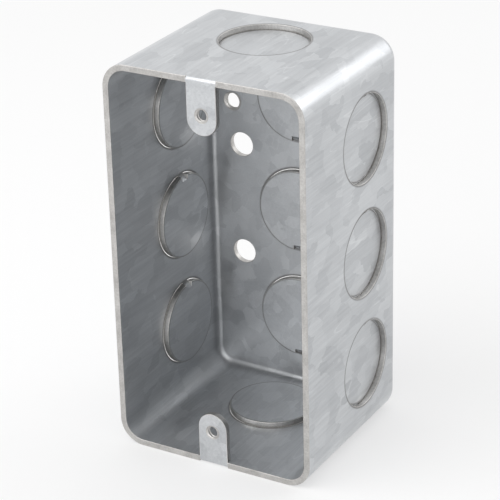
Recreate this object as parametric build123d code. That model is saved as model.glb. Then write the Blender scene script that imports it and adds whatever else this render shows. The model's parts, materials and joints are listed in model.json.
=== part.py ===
"""A one-piece handy box: the small steel outlet box that a switch or a socket is screwed into.

A blank of galvanised sheet is drawn into a deep rectangular cup, so the walls and the back
are one sheet with rounded corners and no seams. Two ears, one at each end of the rim, are
turned in over the mouth and tapped for the screws of the device. Every wall carries round
knockouts. A knockout is a disc that the press has sheared round and pushed into the box, and
it hangs on by one narrow tie until somebody knocks it out for a conduit or a cable clamp.

The box stands on one end, as it is drawn: +Z runs up its length, the mouth faces -Y, and the
origin is in the middle of the footprint. All sizes are in millimetres.
"""

import os

from build123d import *

# The drawn cup
height = 101.6  # over the two ends, 4 in
width = 53.975  # over the two sides, 2 1/8 in
depth = 47.625  # from the rim to the outside of the back, 1 7/8 in
sheet = 1.5875  # the steel, 1/16 in thick
corner_radius = 6.35  # outside, where a side turns into an end
back_bend = 1.6  # inside, where the walls turn into the back

# The ears and their tapped holes
ear_width = 8.0
ear_bend = 0.4  # inside, where an ear turns out of its end wall
ear_corner = 1.0  # outside of that bend, struck sharp so that the ear lies flush with the rim
ear_tip = 5.0  # from the middle of the tapped hole to the round tip
ear_hole_from_end = 9.13  # leaves 83.34 mm between the two holes, as every device yoke has
ear_hole = 3.505  # a number 6 screw, over its thread

# The knockouts
knockout = 22.225  # 7/8 in, for half-inch conduit
knockout_pitch = 30.0  # from one to the next along the box
knockout_from_back = 17.6  # middle of each wall knockout, ahead of the outside of the back
knockout_margin = 2.0  # the least flat metal left between the last knockout and the corner
slug_gap = 0.12  # the cut round each disc
slug_hold = 0.2  # how deep the pushed-in disc still sits in its hole
tie_width = 2.4
tie_length = 1.6  # how far the sloping tie reaches in from the edge of the hole

# The plain holes and the tapped hole in the back
fixing_hole = 6.4
fixing_hole_from_side = 10.4
ground_hole = 4.826  # a number 10 screw, over its thread
ground_hole_from_side = 8.0
ground_hole_from_end = 24.4

# What follows from those
rim_y = -depth / 2
back_y = depth / 2
middle_z = height / 2
knockout_radius = knockout / 2
bend_reach = ear_bend + sheet  # how far the bend reaches from the rim and from the end
knockout_y = back_y - knockout_from_back
slug_push = sheet - slug_hold
cut_length = 3 * sheet  # long enough for a drill to pass right through one wall


def row_of_knockouts():
    """The heights at which knockouts stand in a row, as many as the flat wall has room for."""
    flat = height - 2 * corner_radius - 2 * knockout_margin
    count = 1 + int((flat - knockout) / knockout_pitch)
    lowest = middle_z - knockout_pitch * (count - 1) / 2
    return [lowest + knockout_pitch * number for number in range(count)]


def gaps_between(heights):
    """The heights halfway between one knockout and the next."""
    return [(low + high) / 2 for low, high in zip(heights, heights[1:])]


def block_behind_rim(across, along, radius, reach):
    """A block with rounded long edges that starts at the rim and reaches towards the back."""
    outline = Pos(0, middle_z) * RectangleRounded(across, along, radius)
    return extrude(Plane.XZ.offset(-rim_y) * outline, -reach)


def rounded_at_back(block, radius):
    """The same block with the edges round its back face rolled over."""
    return fillet(block.edges().group_by(Axis.Y)[-1], radius)


def drawn_cup():
    """The sheet after drawing: an open cup of even thickness."""
    outside = block_behind_rim(width, height, corner_radius, depth)
    inside = block_behind_rim(
        width - 2 * sheet, height - 2 * sheet, corner_radius - sheet, depth - sheet
    )
    return rounded_at_back(outside, back_bend + sheet) - rounded_at_back(inside, back_bend)


def drill_along_y(x, y, z, diameter):
    """A drill through one sheet of metal, running front to back."""
    return Pos(x, y, z) * Rot(90, 0, 0) * Cylinder(diameter / 2, cut_length)


def bent_strip():
    """The upper ear before its tip is rounded, bent from the end wall into the rim's plane."""
    tip_z = height - ear_hole_from_end - ear_tip
    outer_start = (rim_y + ear_corner, height)
    outer_end = (rim_y, height - ear_corner)
    inner_start = (rim_y + bend_reach, height - sheet)
    inner_end = (rim_y + sheet, height - bend_reach)
    side_view = make_face(
        [
            RadiusArc(outer_start, outer_end, -ear_corner),
            Polyline(outer_end, (rim_y, tip_z), (rim_y + sheet, tip_z), inner_end),
            RadiusArc(inner_end, inner_start, ear_bend),
            Polyline(inner_start, (rim_y + bend_reach, height), outer_start),
        ]
    )
    return extrude(Plane.YZ * side_view, ear_width / 2, both=True)


def ear_at_top():
    """The upper ear, with its round tip and the hole that is tapped for the device's screw."""
    round_z = height - ear_hole_from_end - ear_tip + ear_width / 2
    outline = Pos(0, round_z) * Circle(ear_width / 2)
    outline += Pos(0, (height + round_z) / 2) * Rectangle(ear_width, height - round_z)
    punch = extrude(Plane.XZ.offset(-rim_y) * outline, -bend_reach)
    hole_z = height - ear_hole_from_end
    return (bent_strip() & punch) - drill_along_y(0, rim_y, hole_z, ear_hole)


def room_for_ear():
    """The square edge of the end wall that gives way to the ear's rounded bend."""
    return Pos(0, rim_y, height - sheet) * Box(
        ear_width, bend_reach, sheet, align=(Align.CENTER, Align.MIN, Align.MIN)
    )


def knockout_stations():
    """One plane per knockout: on the outside of its wall, z pointing out and x to its tie."""
    heights = row_of_knockouts()
    for outward in (-1, 1):
        for z in heights:
            yield Plane((outward * width / 2, knockout_y, z), (0, 0, 1), (outward, 0, 0))
    for z, outward in ((0, -1), (height, 1)):
        yield Plane((0, knockout_y, z), (1, 0, 0), (0, 0, outward))
    for z in heights:
        yield Plane((0, back_y, z), (0, 0, -1), (0, 1, 0))


def knockout_cut():
    """The round hole that the press shears, at the origin with the wall below it."""
    return Cylinder(knockout_radius, cut_length)


def slug():
    """The sheared disc, pushed in by most of the sheet, with a bite out of it for the tie."""
    disc = Cylinder(
        knockout_radius - slug_gap, sheet, align=(Align.CENTER, Align.CENTER, Align.MAX)
    )
    bite = Pos(knockout_radius, 0, 0) * Box(2 * tie_length, tie_width, cut_length)
    return Pos(0, 0, -slug_push) * (disc - bite)


def tie():
    """The strip that was never sheared: it slopes from the wall down to the disc."""
    root = slug_gap * 2
    edge = knockout_radius
    foot = knockout_radius - tie_length
    slope = Polyline(
        (edge + root, 0),
        (edge, 0),
        (foot, -slug_push),
        (foot - root, -slug_push),
        (foot - root, -slug_push - sheet),
        (foot, -slug_push - sheet),
        (edge, -sheet),
        (edge + root, -sheet),
        close=True,
    )
    return extrude(Plane.XZ * make_face(slope), tie_width / 2, both=True)


def back_holes():
    """The fixing holes level with the gaps between knockouts, and the tapped hole for earth."""
    fixing_x = width / 2 - fixing_hole_from_side
    drills = [
        drill_along_y(side * fixing_x, back_y, z, fixing_hole)
        for side in (-1, 1)
        for z in gaps_between(row_of_knockouts())
    ]
    ground_x = ground_hole_from_side - width / 2
    ground_z = height - ground_hole_from_end
    return [*drills, drill_along_y(ground_x, back_y, ground_z, ground_hole)]


def box_body():
    """The whole box, one piece of sheet."""
    upside_down = Pos(0, 0, height) * Rot(0, 180, 0)
    ear = ear_at_top()
    corner = room_for_ear()
    stations = list(knockout_stations())
    body = drawn_cup()
    body -= [corner, upside_down * corner, *back_holes()]
    body -= [station * knockout_cut() for station in stations]
    body += [ear, upside_down * ear]
    body += [station * piece for station in stations for piece in (slug(), tie())]
    return body


os.makedirs("parts", exist_ok=True)
export_step(box_body(), "parts/box_body.step")
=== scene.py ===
# %% [markdown]
# # A handy box of galvanised steel
#
# The real thing is one piece of zinc-coated sheet, drawn into a deep cup by a press. Two ears
# are folded in over its mouth and tapped for screws, and round knockouts are sheared almost
# free in every wall. The frame already holds its form, so most of this lesson is about what
# a maker would notice in the hand: the rounded lips of the sheared edges, the screw threads,
# the frosty zinc skin with its draw marks, and the bare steel where the sheet was cut.

# %% Load the fixed frame
import json
import math

import bmesh
import bpy
import numpy as np
from mathutils import Matrix, Vector


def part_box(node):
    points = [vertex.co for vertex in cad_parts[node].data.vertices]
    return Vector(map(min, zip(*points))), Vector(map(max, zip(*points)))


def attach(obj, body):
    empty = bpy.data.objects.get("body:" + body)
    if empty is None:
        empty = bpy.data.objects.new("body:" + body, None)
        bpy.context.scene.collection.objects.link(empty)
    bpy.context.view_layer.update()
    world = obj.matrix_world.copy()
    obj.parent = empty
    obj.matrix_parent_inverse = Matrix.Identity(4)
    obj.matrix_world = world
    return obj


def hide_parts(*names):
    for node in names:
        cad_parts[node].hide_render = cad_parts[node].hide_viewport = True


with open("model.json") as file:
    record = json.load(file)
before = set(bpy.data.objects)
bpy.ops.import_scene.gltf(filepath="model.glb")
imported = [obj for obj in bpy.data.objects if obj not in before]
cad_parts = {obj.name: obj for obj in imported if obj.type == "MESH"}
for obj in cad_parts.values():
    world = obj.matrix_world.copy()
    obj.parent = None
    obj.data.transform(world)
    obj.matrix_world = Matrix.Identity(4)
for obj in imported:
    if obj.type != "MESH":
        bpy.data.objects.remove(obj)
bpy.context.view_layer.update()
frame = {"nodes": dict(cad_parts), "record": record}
cad_body = frame["nodes"]["box_body"]
mounts = {mount["name"]: mount for mount in frame["record"]["mounts"]}
print("the frame holds", sorted(frame["nodes"]), "and", len(mounts), "mounts")

# %% [markdown]
# ## The sizes that the pieces share
#
# Blender works in metres here and sheet metal is talked about in millimetres, so one factor
# turns the second into the first. The outside sizes are read from the frame, which keeps every
# piece in step with it, and the round holes come from the record's own list of mounts. Neither
# of them holds the bends and the ears, so their sizes are written here. A hair is the slack of
# every test of place, and the gap or overlap between two pieces that touch.

# %% Sizes in metres
MM = 0.001
low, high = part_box("box_body")
HALF_WIDTH = high.x
HEIGHT = high.z
RIM_Y = low.y
BACK_Y = high.y
SHEET = mounts["ground_screw"]["dims"]["length_mm"] * MM
CORNER_RADIUS = 6.35 * MM
BACK_RADIUS = 1.6 * MM + SHEET
EAR_WIDTH = 8 * MM
EAR_BEND = 0.4 * MM + SHEET
EAR_LENGTH = 14.13 * MM
HAIR = 0.03 * MM
print(f"the box is {2 * HALF_WIDTH / MM:.1f} x {(BACK_Y - RIM_Y) / MM:.1f} x {HEIGHT / MM:.1f} mm")
print(f"its sheet is {SHEET / MM:.2f} mm thick")


# %% [markdown]
# ## The camera
#
# The drawing looks down on the box from the upper right, with the mouth turned to the left.
# The easy way to set such a view is to think of a camera on a turntable: an azimuth round the
# box, an elevation above the table and a distance. A long lens from half a metre keeps the
# upright edges almost parallel, as a draughtsman would draw them. A small roll evens out
# how far the left and right edges lean.

# %% Set the camera on its turntable
AZIMUTH = math.radians(30.4)
ELEVATION = math.radians(24.9)
ROLL = math.radians(-1.5)
DISTANCE = 0.5
FOCAL_LENGTH = 151.6
AIM = Vector((0.0075, -0.0161, 0.0570))


def turntable(azimuth, elevation, roll=0.0):
    """The turn of a camera or lamp that looks at the turntable from that side."""
    upright = Matrix.Rotation(azimuth, 4, "Z") @ Matrix.Rotation(math.pi / 2 - elevation, 4, "X")
    return upright @ Matrix.Rotation(roll, 4, "Z")


turn = turntable(AZIMUTH, ELEVATION, ROLL)
bpy.ops.object.camera_add(location=AIM + turn @ Vector((0, 0, DISTANCE)), rotation=turn.to_euler())
camera = bpy.context.object
camera.name = "drawing_camera"
camera.data.lens = FOCAL_LENGTH
camera.data.clip_start = 0.01
bpy.context.scene.camera = camera
print("the camera stands at", [round(value, 3) for value in camera.location])


# %% [markdown]
# ## Picking faces in code
#
# An operator in edit mode acts on whatever is selected, and the frame arrives with its nodes
# selected. So two habits run through the whole script: deselect everything before adding or
# editing an object, and choose faces by where they are and which way they face. A face looks
# along an axis when nearly all of its normal points that way, and it stands square to the
# axis when little of it does.

# %% Helpers for selecting and editing
FACING = 0.9
SQUARE = 0.3


def only(piece):
    """Makes one object the selected and active one."""
    bpy.ops.object.select_all(action="DESELECT")
    piece.select_set(True)
    bpy.context.view_layer.objects.active = piece


def edit(piece, mode, everything=True):
    """Enters edit mode on one piece, with all of its parts selected or none."""
    only(piece)
    bpy.ops.object.mode_set(mode="EDIT")
    bpy.ops.mesh.select_mode(type=mode)
    bpy.ops.mesh.select_all(action="SELECT" if everything else "DESELECT")


def select_where(piece, kind, wanted):
    """In edit mode, selects the edges or faces that pass a test, and counts them."""
    skin = bmesh.from_edit_mesh(piece.data)
    chosen = [part for part in getattr(skin, kind) if wanted(part)]
    for part in chosen:
        part.select_set(True)
    bmesh.update_edit_mesh(piece.data)
    return len(chosen)


def done():
    """Leaves edit mode."""
    bpy.ops.object.mode_set(mode="OBJECT")


# %% [markdown]
# ## The shell
#
# A CAD model comes as loose triangles with knife-sharp edges. Real sheet never has those: the
# punch rolls the edge over a little on one side and leaves a fine burr on the other, and it is
# this lip that catches the light. The cup could be modelled again from a cube, by insetting
# and extruding, but the CAD node already has every hole and bend in its place. So a copy of it
# is merged into one skin, its flat triangles are joined into whole faces, and later every
# sheared edge is rounded over its last 0.15 mm. Its form and size stay those of the frame.

# %% Merge a copy of the CAD node
MERGE = 0.002 * MM
FLAT = math.radians(0.4)

shell = bpy.data.objects.new("drawn_shell", cad_body.data.copy())
bpy.context.scene.collection.objects.link(shell)
only(shell)
bpy.ops.mesh.customdata_custom_splitnormals_clear()
edit(shell, "VERT")
bpy.ops.mesh.remove_doubles(threshold=MERGE)
bpy.ops.mesh.dissolve_limited(angle_limit=FLAT)
done()
print("merged into", len(shell.data.vertices), "vertices and", len(shell.data.polygons), "faces")

# %% [markdown]
# The front of each ear lies flush with the rim, so joining flat faces has made them one. But
# the ear shows the skin of the sheet and the rim shows its cut edge. Two cuts, one along each
# side of the ears, part them again. The operator's own threshold is a tenth of a millimetre,
# which is far too coarse for thin sheet, so it is always given a finer one.

# %% Part the ears from the rim
EXACT = 0.0001 * MM


def lies_on_rim(face):
    """Whether a face of the shell lies in the plane of the rim and looks forwards."""
    return face.normal.y < -FACING and face.calc_center_median().y < RIM_Y + HAIR


for side in (-1, 1):
    edit(shell, "FACE", everything=False)
    found = select_where(shell, "faces", lies_on_rim)
    beside_ear = (side * EAR_WIDTH / 2, 0, 0)
    bpy.ops.mesh.bisect(plane_co=beside_ear, plane_no=(1, 0, 0), threshold=EXACT)
    done()
    print("one side of the ears: cut across", found, "faces of the rim")


# %% [markdown]
# ### Which faces were cut
#
# The zinc went on before the press came down, so every face that the press cut is bare steel:
# the walls of all round holes, the rims of the knockout discs, the edge round the mouth and
# the edges of the ears. They could be clicked one by one, but a test of place and direction
# finds them again after a change of size. A cut face always stands square to the skin of the
# sheet. For a round hole that means its normal is square to the axis of the hole.

# %% Where the round holes are
def round_features():
    """The middle, axis and radius of each round hole and knockout in the record."""
    for mount in mounts.values():
        place = np.array(mount["pos_m"])
        axis = np.array(mount["axis"], float)
        sizes = mount["dims"]
        if "r_mm" in sizes:
            yield place, axis, sizes["r_mm"] * MM
        elif "hole_r_mm" in sizes:
            reach_x = sizes.get("spacing_x_mm", 0) * MM / 2
            reach_z = sizes.get("spacing_y_mm", 0) * MM / 2
            for x in sorted({-reach_x, reach_x}):
                for z in (-reach_z, reach_z):
                    yield place + np.array((x, 0, z)), axis, sizes["hole_r_mm"] * MM


print("round holes and knockouts:", len(list(round_features())))


# %% Three tests for a cut face
def round_cuts(centres, normals):
    """The faces that stand square to the skin, inside the circle of any hole or knockout."""
    found = np.zeros(len(centres), bool)
    for place, axis, radius in round_features():
        outward = centres - place
        along = outward @ axis
        off_axis = np.linalg.norm(outward - np.outer(along, axis), axis=1)
        near = (off_axis < radius + HAIR) & (np.abs(along) < 2 * SHEET)
        found |= near & (np.abs(normals @ axis) < SQUARE)
    return found


def rim_cuts(centres, normals):
    """The edge of the sheet round the mouth, beside the ears."""
    at_rim = (centres[:, 1] < RIM_Y + HAIR) & (normals[:, 1] < -FACING)
    return at_rim & (np.abs(centres[:, 0]) > EAR_WIDTH / 2)


def ear_cuts(centres, normals):
    """The edges of both ears: their straight sides and their round tips."""
    from_end = np.minimum(centres[:, 2], HEIGHT - centres[:, 2])
    on_ear = (np.abs(centres[:, 0]) < EAR_WIDTH / 2 + HAIR) & (centres[:, 1] < RIM_Y + EAR_BEND)
    side = np.abs(normals[:, 0]) > FACING
    tip = (from_end > EAR_LENGTH - EAR_WIDTH / 2 - HAIR) & (from_end < EAR_LENGTH + HAIR)
    return on_ear & (side | tip) & (np.abs(normals[:, 1]) < SQUARE)


# %% Find the cut faces
def for_each_face(piece, measure):
    """An array with a row of three numbers for each face of a piece."""
    numbers = np.empty(3 * len(piece.data.polygons))
    piece.data.polygons.foreach_get(measure, numbers)
    return numbers.reshape(-1, 3)


centres, normals = for_each_face(shell, "center"), for_each_face(shell, "normal")
cut = round_cuts(centres, normals) | rim_cuts(centres, normals) | ear_cuts(centres, normals)
print(int(cut.sum()), "of", len(cut), "faces were cut by the press")


# %% [markdown]
# ## Shader maths as plain Python
#
# A finish is arithmetic on the place of each point: how deep it lies under the skin, how near
# a corner, which grain of zinc it is in. Wired by hand that is dozens of Math nodes. Here one
# small class wraps a node's output, and Python's own operators add the nodes.

# %% The class that wraps a socket
class Wire:
    """One output of a shader node. Arithmetic on it adds Math nodes to the same tree."""

    def __init__(self, socket):
        self.socket = socket

    def node(self, kind, settings, inputs, output=0):
        """Adds any node: its settings come first, then the values or wires of its sockets."""
        return add_node(self.socket.id_data, kind, settings, inputs, output)

    def math(self, operation, *others):
        """Adds a Math node, with this wire as the first of its values."""
        inputs = dict(enumerate((self, *others)))
        return self.node("ShaderNodeMath", {"operation": operation}, inputs)

    def __add__(self, other):
        return self.math("ADD", other)

    def __sub__(self, other):
        return self.math("SUBTRACT", other)

    def __rsub__(self, other):
        return self.math("MULTIPLY_ADD", -1.0, other)

    def __mul__(self, other):
        return self.math("MULTIPLY", other)

    def __abs__(self):
        return self.math("ABSOLUTE")

    def most(self, other):
        return self.math("MAXIMUM", other)

    def least(self, other):
        return self.math("MINIMUM", other)

    __radd__, __rmul__ = __add__, __mul__


def add_node(tree, kind, settings, inputs, output=0):
    """Adds a node to a tree and returns the wire from one of its outputs."""
    node = tree.nodes.new(kind)
    for name, value in settings.items():
        setattr(node, name, value)
    for name, value in inputs.items():
        if isinstance(value, Wire):
            tree.links.new(value.socket, node.inputs[name])
        else:
            node.inputs[name].default_value = value
    return Wire(node.outputs[output]) if node.outputs else None


# %% [markdown]
# A few combinations of nodes come up again and again, so each has a name of its own. The most
# useful is the soft step, which turns a distance into a mask with a gentle edge. Its start and
# its end are kept as a pair under one name, so a mask is tuned in one place. Another is a sum
# in which each mark on a finish has its own share.

# %% Helpers that work on wires
def rise(value, start, end):
    """A soft step from 0 at start to 1 at end. With end below start it falls instead."""
    settings = {"interpolation_type": "SMOOTHSTEP"}
    inputs = {"Value": value, "From Min": min(start, end), "From Max": max(start, end)}
    ends = {"To Min": 0.0, "To Max": 1.0} if end > start else {"To Min": 1.0, "To Max": 0.0}
    return value.node("ShaderNodeMapRange", settings, {**inputs, **ends})


def length(across, along):
    """The length of a line from how far it goes each way."""
    return (across * across + along * along).math("SQRT")


def stretch(place, x, y, z):
    """The same coordinates, scaled by three factors."""
    return place.node("ShaderNodeVectorMath", {"operation": "MULTIPLY"}, {0: place, 1: (x, y, z)})


def noise(place, scale, detail, roughness=0.5):
    """Soft random values between about -0.3 and 0.3."""
    inputs = {"Vector": place, "Scale": scale, "Detail": detail, "Roughness": roughness}
    return place.node("ShaderNodeTexNoise", {}, inputs) - 0.5


def add_up(level, marks, **shares):
    """An even level plus each of the named marks times its share."""
    total = level
    for name, share in shares.items():
        total = total + marks[name] * share
    return total


def blend(first, second, share):
    """A colour between two others. The share of the second runs from 0 to 1."""
    settings = {"data_type": "RGBA", "clamp_factor": True}
    return share.node("ShaderNodeMix", settings, {0: share, 6: first, 7: second}, 2)


# %% The two ends of every finish
def new_finish(name):
    """An empty material and the wire of its coordinates, in metres from the frame's origin."""
    finish = bpy.data.materials.new(name)
    finish.use_nodes = True
    tree = finish.node_tree
    tree.nodes.clear()
    return finish, add_node(tree, "ShaderNodeTexCoord", {}, {}, "Object")


def to_output(surface):
    """Joins a shader to the material's output."""
    surface.node("ShaderNodeOutputMaterial", {}, {"Surface": surface})


def metal_surface(colour, metallic, roughness, relief):
    """Ends a finish with a Principled shader. The relief for its bump is in millimetres."""
    bump = relief.node("ShaderNodeBump", {}, {"Height": relief, "Distance": MM}, "Normal")
    inputs = {"Base Color": colour, "Metallic": metallic, "Roughness": roughness, "Normal": bump}
    to_output(relief.node("ShaderNodeBsdfPrincipled", {}, inputs))


# %% [markdown]
# ## Where on the box a point is
#
# Everything that the press did to the sheet depends on the place: the corners were stretched,
# the bends were burnished on the die, the walls were scored towards the mouth, and oil and
# dust stayed in the inner corners, which also get painted shade. Such marks could be painted
# by hand, but paint needs a UV map and has to be done again when a size changes. So the first
# helpers turn the coordinates of a point into masks, which are 0 where there is nothing of a
# mark and about 1 where there is all of it.


# %% How deep a point lies under the skin
def under_skin(first, second, radius):
    """The depth under two faces that meet in a round edge, and how far into its round it is."""
    past_first, past_second = radius - first, radius - second
    from_centre = length(past_first.most(0.0), past_second.most(0.0))
    depth = radius - from_centre - past_first.most(past_second).least(0.0)
    return depth, past_first.least(past_second)


# %% [markdown]
# The sheet slides over the die from the back to the mouth, and the further it has slid, the
# deeper its scores. So that mask is nothing on the back and grows along the walls.


# %% Masks for the bends outside and the corners inside
OUTER_HALF = 0.6 * SHEET, 0.4 * SHEET
CORNER_BURNISH = 0, 1.6 * MM
BACK_BURNISH = 0, 0.9 * MM
# Dirt and painted shade in the inner corners start this far from a corner and are full this near.
CORNER_DIRT_AND_SHADE_REACH = 5.5 * MM, 1.7 * MM
DRAW_START = 0.5 * SHEET, 2.5 * SHEET
DRAW_GROWTH = 0, 40 * MM
DRAW_LEVEL = 0.75
DRAW_GAIN = 0.5


def place_masks(place):
    """Wires for x, y and z, the outside bends, the inside corners and the drawn walls."""
    x, y, z = (place.node("ShaderNodeSeparateXYZ", {}, {0: place}, axis) for axis in range(3))
    to_side = HALF_WIDTH - abs(x)
    to_end = HEIGHT / 2 - abs(z - HEIGHT / 2)
    to_back = BACK_Y - y
    wall_depth, into_corner = under_skin(to_side, to_end, CORNER_RADIUS)
    depth, into_back = under_skin(wall_depth, to_back, BACK_RADIUS)
    outside = rise(depth, *OUTER_HALF)
    bend = rise(into_corner, *CORNER_BURNISH).most(rise(into_back, *BACK_BURNISH))
    # The middle one of the three distances is small only where two walls meet.
    second = to_side.least(to_end).most(to_side.most(to_end).least(to_back))
    growth = DRAW_LEVEL + rise(to_back, *DRAW_GROWTH) * DRAW_GAIN
    return {
        "x": x, "y": y, "z": z,
        "outer_bend": outside * bend,
        # The inner corners: a mask for dirt and painted shade.
        "inner_corner": (1 - outside) * rise(second, *CORNER_DIRT_AND_SHADE_REACH),
        "drawn": rise(to_back, *DRAW_START) * growth,
    }


# %% [markdown]
# A sheared line catches dirt and oil, so each knockout has a thin dark ring round its cut. The
# ring is painted shade as well, standing in for the shade in the gap beside the cut. An
# Ambient Occlusion node could find it, but would darken all other corners as well, while the
# distance of a point to the nearest ring is plain geometry. On the sides it is measured in y
# and z, on the ends in x and y, and on the back in x and z. Each of them counts only near its
# own wall. The three knockouts of a row are one knockout to the shader, because z is folded
# about the middle one.


# %% The distance to the nearest knockout's cut
side_row = [mounts[f"right_{name}_knockout"]["pos_m"] for name in ("lower", "middle", "upper")]
KNOCKOUT_Y = side_row[0][1]
KNOCKOUT_PITCH = side_row[1][2] - side_row[0][2]
KNOCKOUT_RADIUS = mounts["right_middle_knockout"]["dims"]["r_mm"] * MM
WALL_REACH = 2.4 * SHEET


def ring_distance(masks):
    """How far a point is from the round cut of the nearest knockout, in metres."""
    x, ahead, z = masks["x"], masks["y"] - KNOCKOUT_Y, masks["z"] - HEIGHT / 2
    folded = abs(z).least(abs(abs(z) - KNOCKOUT_PITCH))
    distances = []
    for across, along, inwards in (
        (ahead, folded, HALF_WIDTH - abs(x)),
        (x, ahead, HEIGHT / 2 - abs(z)),
        (x, folded, BACK_Y - masks["y"]),
    ):
        other_wall = inwards.math("GREATER_THAN", WALL_REACH)
        distances.append(abs(length(across, along) - KNOCKOUT_RADIUS) + other_wall)
    return distances[0].least(distances[1]).least(distances[2])


print(f"the knockouts of a row are {KNOCKOUT_PITCH / MM:.1f} mm apart")


# %% [markdown]
# ## The zinc skin
#
# Hot-dipped zinc freezes in flat crystals, the spangle, and each reflects a little
# differently. On thin sheet they are a few millimetres across. A picture of them would repeat
# over the box and show its seams. Voronoi cells never repeat, and they have the right outlines
# once some noise has bent their straight sides. Their random colour gives each crystal its own
# tone and its own gleam. The press has pulled them out along y, so the pattern is read with y
# squeezed.


# %% Grow the spangle
CRYSTALS_PER_METRE = 270.0
CRYSTAL_WARP = 2.4 * MM
WARPS_PER_METRE = 330.0
CRYSTAL_SQUEEZE = 0.6


def spangle(place):
    """Two wires from -0.5 to 0.5, one for each crystal's tone and one for its gleam."""
    warps = {"Vector": place, "Scale": WARPS_PER_METRE}
    swirl = place.node("ShaderNodeTexNoise", {}, warps, "Color")
    drawn_out = stretch(place, 1, CRYSTAL_SQUEEZE, 1)
    bent = place.node(
        "ShaderNodeVectorMath",
        {"operation": "MULTIPLY_ADD"},
        {0: swirl, 1: (CRYSTAL_WARP, CRYSTAL_WARP, CRYSTAL_WARP), 2: drawn_out},
    )
    crystal = bent.node(
        "ShaderNodeTexVoronoi", {}, {"Vector": bent, "Scale": CRYSTALS_PER_METRE}, "Color"
    )
    parts = [crystal.node("ShaderNodeSeparateColor", {}, {0: crystal}, part) for part in (0, 1)]
    return [part - 0.5 for part in parts]


print(f"a crystal is about {1 / CRYSTALS_PER_METRE / MM:.1f} mm across")


# %% [markdown]
# A box that has lain in a bin with a hundred others has hairline scratches. A Wave texture
# would lay them side by side like the teeth of a comb. Here a scratch is where a smooth noise
# passes its middle value: a thin line, long because the noise is stretched, and broken because
# a second noise lets it through only in patches. Two directions are enough.


# %% Scratch it
SCRATCH_LINE = 0.012, 0.0
SCRATCH_PATCHES = 0.03, 0.1
SCRATCH_STRETCH = (300.0, 26.0, 300.0)
SCRATCH_TURNS = ((0.5, 0.9, 0.3), (-0.7, 0.2, -0.6))


def scratches(place):
    """Thin broken lines with a value of 1 on a surface of 0."""
    patches = rise(noise(place, scale=95, detail=1), *SCRATCH_PATCHES)
    lines = []
    for turn in SCRATCH_TURNS:
        inputs = {"Vector": place, "Rotation": turn, "Scale": SCRATCH_STRETCH}
        turned = place.node("ShaderNodeMapping", {}, inputs)
        lines.append(rise(abs(noise(turned, scale=1, detail=0)), *SCRATCH_LINE))
    return lines[0].most(lines[1]) * patches


# %% [markdown]
# On top of the crystals come the marks of the work. Drawing the cup scores its walls with
# fine lines that all run towards the mouth, which is noise stretched along y. The bends are
# brighter and smoother than the rest, because there the sheet rubbed hardest on the die.
# Frost is the fine grain of the zinc and a cloud is a dull patch. Ripples and waves are how
# far a pressed wall is from flat. All the marks are gathered under their names first.


# %% Gather the marks on the zinc
DRAW_SQUEEZE = 0.035
SCORES_AT_BACK = 0.12
GROOVE_GAIN = 0.5
# The dark ring of dirt and painted shade starts this far from a cut and is full this near.
RING_DIRT_AND_SHADE = 0.75 * MM, 0.225 * MM
RING_DIRT_AND_SHADE_LEVEL = 0.75
CORNER_DIRT_AND_SHADE_LEVEL = 0.25
CORNER_DIRT_AND_SHADE_PATCHES = 0.6


def zinc_marks(place):
    """A wire for each kind of mark, by its name."""
    masks = place_masks(place)
    crystal, gleam = spangle(place)
    along_draw = stretch(place, 1, DRAW_SQUEEZE, 1)
    scores = noise(along_draw, scale=1150, detail=3, roughness=0.65)
    grooves = noise(along_draw, scale=900, detail=1) * (1 + masks["outer_bend"] * GROOVE_GAIN)
    cloud = noise(place, scale=42, detail=3)
    return {
        "crystal": crystal,
        "gleam": gleam,
        "cloud": cloud,
        "frost": noise(place, scale=2600, detail=2, roughness=0.6),
        "ripple": noise(place, scale=260, detail=1),
        "wave": noise(place, scale=36, detail=1),
        "scores": scores * (SCORES_AT_BACK + masks["drawn"]),
        "grooves": grooves * masks["drawn"],
        "bend": masks["outer_bend"],
        "hairs": scratches(place),
        # Dirt and painted shade: a dark ring round the cut of each knockout.
        "stain": rise(ring_distance(masks), *RING_DIRT_AND_SHADE) * (RING_DIRT_AND_SHADE_LEVEL + cloud),
        # Dirt and painted shade in the inner corners, in patches.
        "corner_dirt_and_shade": masks["inner_corner"] * (CORNER_DIRT_AND_SHADE_LEVEL + cloud * CORNER_DIRT_AND_SHADE_PATCHES),
    }


# %% [markdown]
# Then every mark gets its share in the tone, the roughness and the relief of the skin. The
# relief feeds the bump and is written in millimetres, so its sizes can be checked by eye, and
# it has no detail finer than a camera can see, because that would only glitter. Zinc dulls in
# the air, so a small share of its light is spread by that dull film and not by metal.


# %% Mix the zinc
SMOOTHEST = 0.3
ZINC_LIGHT = (0.66, 0.675, 0.69, 1)
ZINC_DARK = (0.40, 0.413, 0.43, 1)
# The dark colour of dirt and painted shade, in the inner corners and round the knockouts.
DIRT_AND_SHADE = (0.15, 0.145, 0.14, 1)
BARE_METAL = 0.85
STAIN_FILM = 0.4


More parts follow.
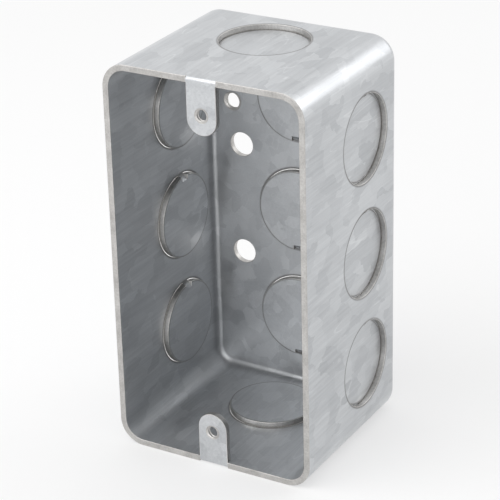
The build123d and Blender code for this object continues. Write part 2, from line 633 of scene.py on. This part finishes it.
def zinc_skin():
    """Galvanised sheet: spangle, frost, draw marks, burnished bends, and corners and knockout
    rings darkened by dirt and painted shade.
    """
    finish, place = new_finish("zinc_skin")
    marks = zinc_marks(place)
    tone = add_up(
        0.52, marks, crystal=0.34, cloud=0.6, frost=0.3, scores=0.75, bend=0.15, hairs=0.22
    )
    clean = blend(ZINC_DARK, ZINC_LIGHT, tone)
    # The rings and the inner corners darken towards it: dirt and painted shade.
    colour = blend(clean, DIRT_AND_SHADE, marks["stain"].most(marks["corner_dirt_and_shade"]))
    metallic = BARE_METAL - marks["stain"] * STAIN_FILM
    roughness = add_up(
        0.4,
        marks,
        gleam=0.14,
        cloud=0.16,
        frost=0.1,
        scores=0.25,
        bend=-0.1,
        hairs=-0.08,
        stain=0.2,
    )
    relief = add_up(
        0, marks, frost=0.0025, crystal=0.001, hairs=-0.003, grooves=0.014, ripple=0.012, wave=0.05
    )
    metal_surface(colour, metallic, roughness.most(SMOOTHEST), relief)
    return finish


zinc = zinc_skin()
print("the zinc skin takes", len(zinc.node_tree.nodes), "nodes")


# %% [markdown]
# ## The bare cut edge
#
# A punch first burnishes the steel and then tears it, so a sheared edge is bright in some
# places and grainy in others. It has no zinc, and looks a little warmer than the skin beside
# it. A bright band and a grainy one could run along every edge, but on sheet this thin they
# are too narrow to see from half a metre. So two noises do, one for the grit and one for
# smears about six times as wide.


# %% Mix the cut edge
STEEL_LIGHT = (0.68, 0.668, 0.65, 1)
STEEL_DARK = (0.34, 0.332, 0.32, 1)


def cut_edge():
    """Bare sheared steel: grainy, warm grey and a little dull."""
    finish, place = new_finish("cut_edge")
    marks = {
        "grit": noise(place, scale=2100, detail=3, roughness=0.65),
        "smear": noise(place, scale=330, detail=2),
    }
    colour = blend(STEEL_DARK, STEEL_LIGHT, add_up(0.5, marks, grit=1.1, smear=0.9))
    roughness = add_up(0.4, marks, grit=0.3).most(SMOOTHEST)
    metal_surface(colour, 1.0, roughness, add_up(0, marks, grit=0.014, smear=0.03))
    return finish


steel = cut_edge()
print("the cut edge takes", len(steel.node_tree.nodes), "nodes")


# %% [markdown]
# ### Dressing the shell
#
# The two finishes go on as two material slots of one mesh, because the real box is one piece.
# The cut faces are marked first and the lips come after, all in the finish of the cut. Only
# edges that stick out get a lip, because an inner corner has nothing to roll over. A Bevel
# modifier that goes by angle would take the inner corners too, so the edges are picked by a
# test and bevelled by the operator. Where lips meet at the bend of an ear, it leaves a few
# corners on the same spot, and these are merged. At the end a Weighted Normal modifier keeps
# the large flat walls flat beside their rounded corners.

# %% Mark the cut faces and bevel the lips
LIP = 0.15 * MM
LIP_SEGMENTS = 2
SHARP = math.radians(55)
ZINC_SLOT, CUT_SLOT = 0, 1


def is_sharp_lip(edge):
    """Whether an edge of the shell sticks out and is sharp enough for a lip."""
    return edge.is_manifold and edge.is_convex and edge.calc_face_angle() > SHARP


shell.data.materials.clear()
shell.data.materials.append(zinc)
shell.data.materials.append(steel)
shell.data.polygons.foreach_set("material_index", np.where(cut, CUT_SLOT, ZINC_SLOT))
edit(shell, "EDGE", everything=False)
lips = select_where(shell, "edges", is_sharp_lip)
bpy.ops.mesh.bevel(
    offset=LIP, segments=LIP_SEGMENTS, affect="EDGES", clamp_overlap=False, material=CUT_SLOT
)
bpy.ops.mesh.select_all(action="SELECT")
bpy.ops.mesh.remove_doubles(threshold=MERGE)
done()
print("bevelled", lips, "edges")

# %% Smooth the shell and hand it to the frame
SMOOTH_BELOW = math.radians(50)

only(shell)
bpy.ops.object.shade_smooth_by_angle(angle=SMOOTH_BELOW)
modifier = shell.modifiers.new("flat_walls", "WEIGHTED_NORMAL")
modifier.keep_sharp = True
bpy.ops.object.modifier_apply(modifier=modifier.name)
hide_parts("box_body")
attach(shell, "root")
print("the shell has", len(shell.data.polygons), "faces")


# %% [markdown]
# ## The screw threads
#
# The ears take number 6 screws and the hole in the back takes a number 10, both with 32 turns
# to the inch. In sheet this thin that is just two turns of thread. Bump on the wall of a plain
# hole would show no teeth at its edge, and a stack of rings would have no lead. A real tap cuts
# the grooves and leaves the ridges, so each thread is one ridge: a small trapezium, swept
# round the hole by a Screw modifier with a turn to spare at each end, and then sliced off
# flush with both faces of the sheet.

# %% Draw the outline of the ridge
PITCH = 25.4 * MM / 32
RIDGE_ROOT = 0.86 * PITCH
RIDGE_CREST = 0.22 * PITCH
print(f"one turn of thread is {PITCH / MM:.3f} mm long")


def ridge_outline(name, outer, inner):
    """A loop of four edges, wide where it meets the wall of the hole and narrow at its crest."""
    bpy.ops.object.select_all(action="DESELECT")
    bpy.ops.mesh.primitive_plane_add(size=1, location=(0, 0, 0))
    ridge = bpy.context.object
    ridge.name = name
    root, crest = RIDGE_ROOT / 2, RIDGE_CREST / 2
    corners = (outer, -root), (outer, root), (inner, crest), (inner, -crest)
    loop = sorted(ridge.data.vertices, key=lambda v: math.atan2(v.co.y, v.co.x))
    for vertex, (across, along) in zip(loop, corners):
        vertex.co = (across, along, 0)
    edit(ridge, "FACE")
    bpy.ops.mesh.delete(type="ONLY_FACE")
    done()
    return ridge


# %% Wind it and slice it flush
TURN_STEPS = 40
TURNS = math.ceil(SHEET / PITCH) + 2


def wind(ridge, middle):
    """Sweeps the outline into a right-hand thread about an axis that runs front to back."""
    screw = ridge.modifiers.new("turns", "SCREW")
    screw.axis = "Y"
    screw.screw_offset = PITCH
    screw.iterations = TURNS
    screw.steps = TURN_STEPS
    screw.render_steps = TURN_STEPS
    bpy.ops.object.modifier_apply(modifier=screw.name)
    ridge.data.transform(Matrix.Translation(middle - Vector((0, TURNS * PITCH / 2, 0))))


def slice_flush(ridge, middle):
    """Cuts the ends off a thread, a hair inside both faces of the sheet, and closes them."""
    for side in (-1, 1):
        edit(ridge, "VERT")
        bpy.ops.mesh.bisect(
            plane_co=middle + Vector((0, side * (SHEET / 2 - HAIR), 0)),
            plane_no=(0, side, 0),
            use_fill=True,
            clear_outer=True,
            threshold=EXACT,
        )
        done()
    edit(ridge, "FACE")
    bpy.ops.mesh.normals_make_consistent(inside=False)
    done()


# %% Cut the three threads
THREAD_SMOOTH = math.radians(25)
EAR_RIDGE = 0.38 * MM
GROUND_RIDGE = 0.42 * MM


def thread(name, middle, hole_radius, depth):
    """One finished thread in a hole through the sheet that runs front to back."""
    ridge = ridge_outline(name, hole_radius + HAIR, hole_radius - depth)
    wind(ridge, middle)
    slice_flush(ridge, middle)
    only(ridge)
    bpy.ops.object.shade_smooth_by_angle(angle=THREAD_SMOOTH)
    ridge.data.materials.clear()
    ridge.data.materials.append(steel)
    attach(ridge, "root")
    print(name, "has", len(ridge.data.polygons), "faces")


ears = mounts["device_screws"]
ear_radius = ears["dims"]["hole_r_mm"] * MM
to_hole = Vector((0, 0, ears["dims"]["spacing_y_mm"] * MM / 2))
thread("upper_ear_thread", Vector(ears["pos_m"]) + to_hole, ear_radius, EAR_RIDGE)
thread("lower_ear_thread", Vector(ears["pos_m"]) - to_hole, ear_radius, EAR_RIDGE)
ground = mounts["ground_screw"]
ground_radius = ground["dims"]["r_mm"] * MM
thread("ground_hole_thread", Vector(ground["pos_m"]), ground_radius, GROUND_RIDGE)


# %% [markdown]
# ## Floor, light and background
#
# The drawing has a white page behind it. A white world alone would leave the box in mid-air,
# so the page is a floor as well. The Light Path node tells what kind of ray has met a surface,
# so a page can look plain white to the camera and still light the box no more than paper
# would. Rays off metal or through glass have to see the same white, or the box would mirror a
# room that isn't there. The floor mixes that white with real paper, which keeps the
# shadow that makes the box stand, and away from the box it turns all white. It lies a hair
# below the box, because two faces in one plane flicker through each other.

# %% The floor
FLOOR_HALF = 3.0
WHITE = (1, 1, 1, 1)
PAPER = (0.9, 0.9, 0.9, 1)
PAGE_SHARE = 0.45
PAGE_FADE = 0.12, 0.6


def page_rays(tree):
    """A wire that is 1 for rays that see the page: the camera's, and those off metal or glass."""
    kinds = ("Is Camera Ray", "Is Glossy Ray", "Is Transmission Ray")
    eye, mirror, glass = (add_node(tree, "ShaderNodeLightPath", {}, {}, kind) for kind in kinds)
    return eye.most(mirror).most(glass)


def page_white():
    """White paper: part of it is plain white to the eye, and the rest takes light and shadow."""
    finish, place = new_finish("page_white")
    paper = place.node("ShaderNodeBsdfDiffuse", {}, {"Color": PAPER})
    white = place.node("ShaderNodeEmission", {}, {"Color": WHITE, "Strength": 1.0})
    far = place.node("ShaderNodeVectorMath", {"operation": "LENGTH"}, {0: place}, "Value")
    share = page_rays(finish.node_tree) * rise(far, *PAGE_FADE).most(PAGE_SHARE)
    to_output(place.node("ShaderNodeMixShader", {}, {0: share, 1: paper, 2: white}))
    return finish


bpy.ops.object.select_all(action="DESELECT")
bpy.ops.mesh.primitive_plane_add(size=2 * FLOOR_HALF, location=(0, 0, -HAIR))
floor = bpy.context.object
floor.name = "floor"
floor.data.materials.append(page_white())
print(f"the floor is {2 * FLOOR_HALF:.0f} m square")


# %% [markdown]
# Metal shows its form only by what it reflects, and in a white room that is the lamps. A
# picture of a studio could take their place, but lamps can be moved one at a time. So they
# are large, soft and unequal: a bright one on the left, one low in front that looks into the
# box, a weak one above, and one behind on the right, which the camera sees mirrored as a
# gleam along the rounded corner between the top and the side.

# %% The lamps
def softbox(name, azimuth, elevation, distance, size, watts):
    """A square lamp on the turntable, turned to the middle of the box."""
    turn = turntable(math.radians(azimuth), math.radians(elevation))
    middle = Vector((0, 0, HEIGHT / 2))
    place = middle + turn @ Vector((0, 0, distance))
    bpy.ops.object.light_add(type="AREA", location=place, rotation=turn.to_euler())
    lamp = bpy.context.object
    lamp.name = name
    lamp.data.size = size
    lamp.data.energy = watts
    print(f"{name}: {watts} W, {distance} m away")


softbox("window_left", azimuth=-38, elevation=42, distance=0.85, size=0.75, watts=3.0)
softbox("window_behind", azimuth=145, elevation=28, distance=0.9, size=0.5, watts=1.0)
softbox("window_above", azimuth=150, elevation=75, distance=0.9, size=0.9, watts=0.6)
softbox("window_front", azimuth=5, elevation=12, distance=1.0, size=0.7, watts=1.8)

# %% The room
ROOM_LIGHT = 0.75

world = bpy.data.worlds.new("white_room")
bpy.context.scene.world = world
world.use_nodes = True
room = world.node_tree
room.nodes.clear()
strength = ROOM_LIGHT + page_rays(room) * (1 - ROOM_LIGHT)
backdrop = strength.node("ShaderNodeBackground", {}, {"Color": WHITE, "Strength": strength})
backdrop.node("ShaderNodeOutputWorld", {}, {"Surface": backdrop})
bpy.context.scene.view_settings.view_transform = "Standard"
print("the room takes", len(room.nodes), "nodes")
